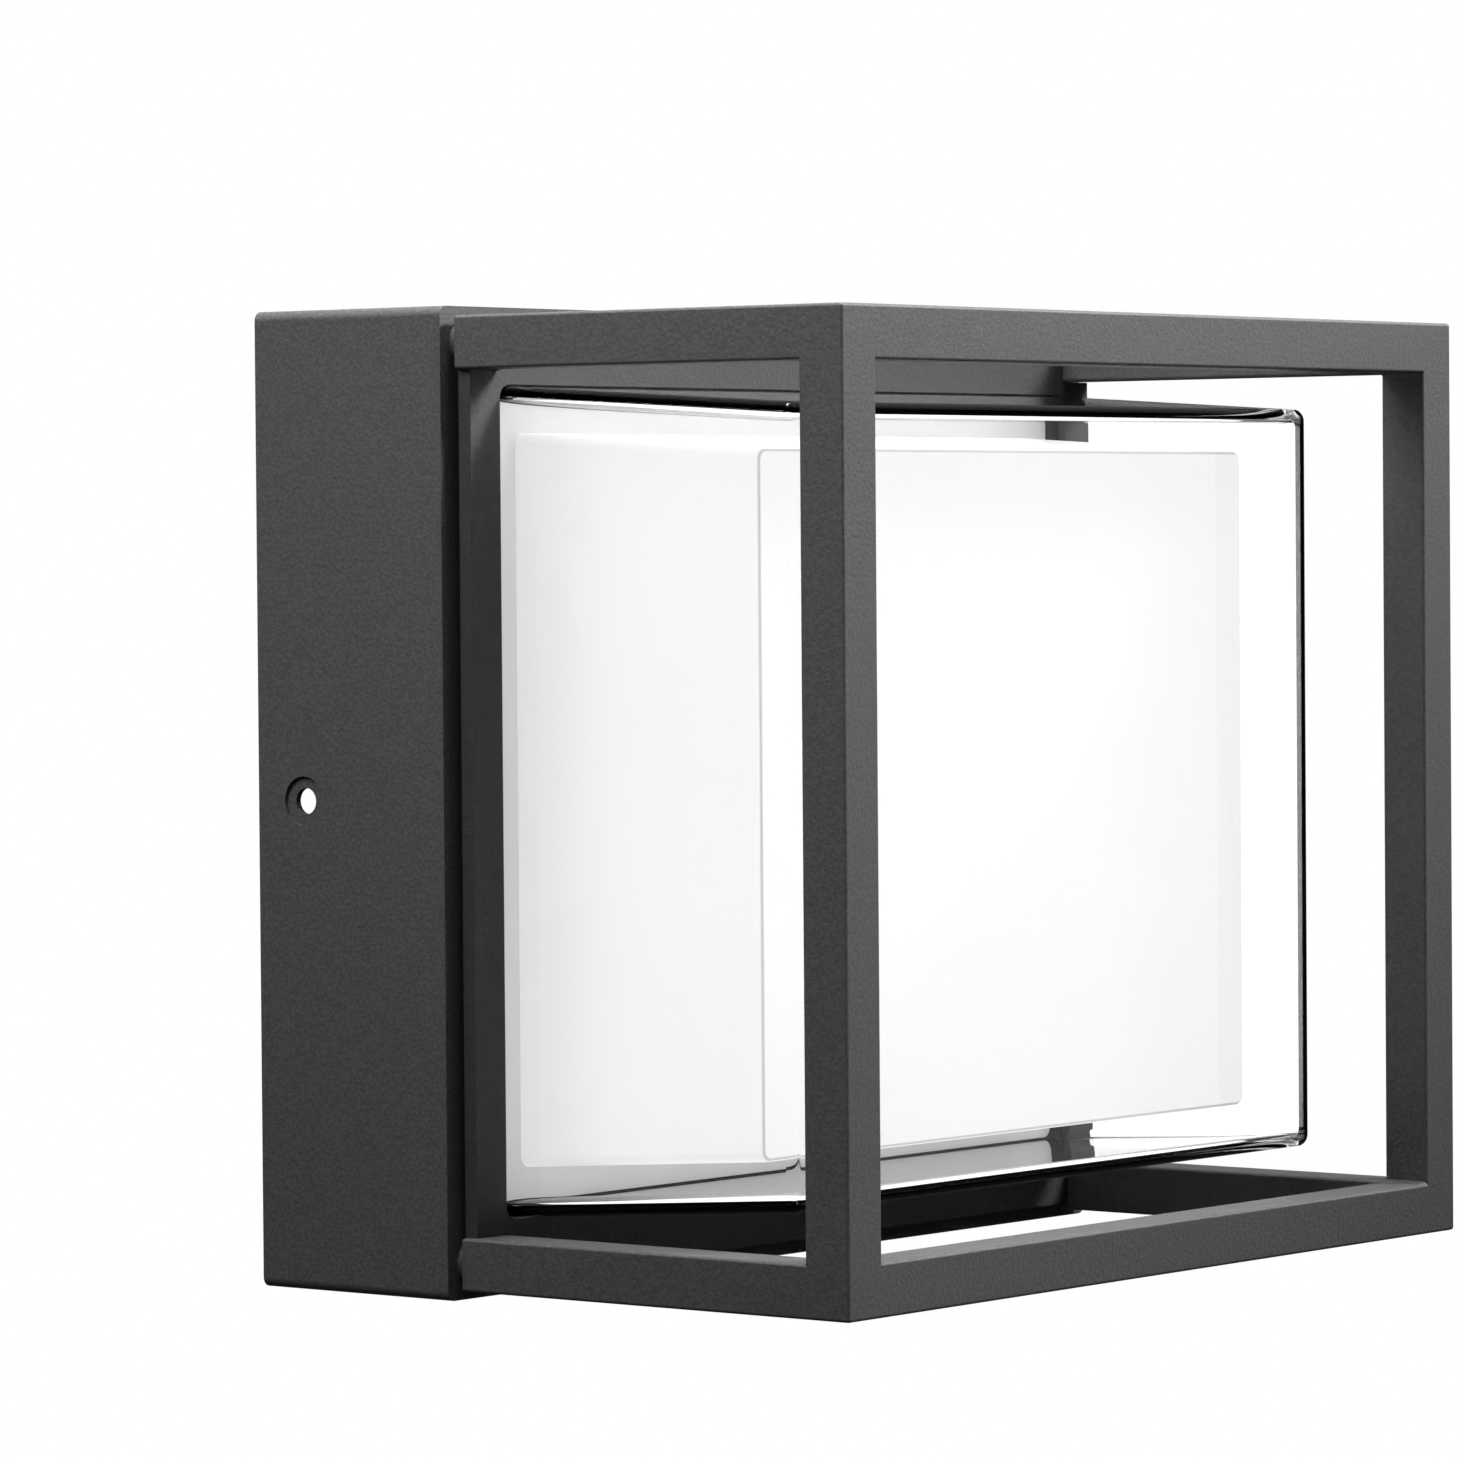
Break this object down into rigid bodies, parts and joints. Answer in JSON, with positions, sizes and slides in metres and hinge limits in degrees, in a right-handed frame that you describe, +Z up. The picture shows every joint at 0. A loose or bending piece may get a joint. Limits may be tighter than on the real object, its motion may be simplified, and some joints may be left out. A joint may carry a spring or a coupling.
{
  "type": "outdoor wall lantern",
  "caption": "Box-shaped outdoor wall lantern: an open cage of square bars around a clear cover and an opal light box, on a shallow base housing that hangs on a wall bracket.",
  "frame": {"origin": "centre of the wall bracket's back face, in the wall plane", "axes": "+Z up, the lantern stands out from the wall towards -Y, +X to the right of a person facing the wall"},
  "size_m": [0.224, 0.153, 0.204],
  "materials": {
    "powder_coat": "fine textured matt dark grey powder coat",
    "bracket_steel": "zinc-plated sheet",
    "screw_steel": "zinc-plated",
    "earth_green": "green-passivated",
    "black_rubber": "matt",
    "clear_plastic": "polished clear acrylic",
    "opal_plastic": "satin opal acrylic",
    "white_paint": "satin white",
    "board_white": "white solder mask on aluminium",
    "led_phosphor": "yellow phosphor in white packages",
    "thermal_grey": "soft silicone sheet",
    "white_plastic": "moulded",
    "clamp_brass": "nickel-free brass",
    "lead_red": "PVC",
    "lead_black": "PVC",
    "lead_white": "PVC",
    "lead_green": "PVC"
  },
  "bodies": {
    "bracket": {"wall_bracket": "bracket_steel", "bracket_earth_screw": "earth_green"},
    "lantern": {"base_housing": "powder_coat", "base_gasket": "black_rubber", "front_plate": "powder_coat", "plate_screws": "screw_steel", "cage_frame": "powder_coat", "cage_screws": "screw_steel", "clear_cover": "clear_plastic", "light_tray": "white_paint", "thermal_pad": "thermal_grey", "led_board": "board_white", "led_chips": "led_phosphor", "board_screws": "screw_steel", "board_connector": "white_plastic", "opal_diffuser": "opal_plastic", "diffuser_screws": "screw_steel", "led_driver": "white_plastic", "driver_screws": "screw_steel", "terminal_block": "white_plastic", "terminal_clamps": "clamp_brass", "block_screw": "screw_steel", "wire_grommet": "black_rubber", "led_lead_positive": "lead_red", "led_lead_negative": "lead_black", "supply_lead_live": "lead_black", "supply_lead_neutral": "lead_white", "earth_lead": "lead_green", "ring_terminal": "screw_steel", "housing_earth_screw": "earth_green"}
  },
  "joints": [
    {"name": "lantern_pull", "type": "slide", "parent": "bracket", "child": "lantern", "axis": [0, -1, 0], "range_m": [0, 0.06]}
  ]
}
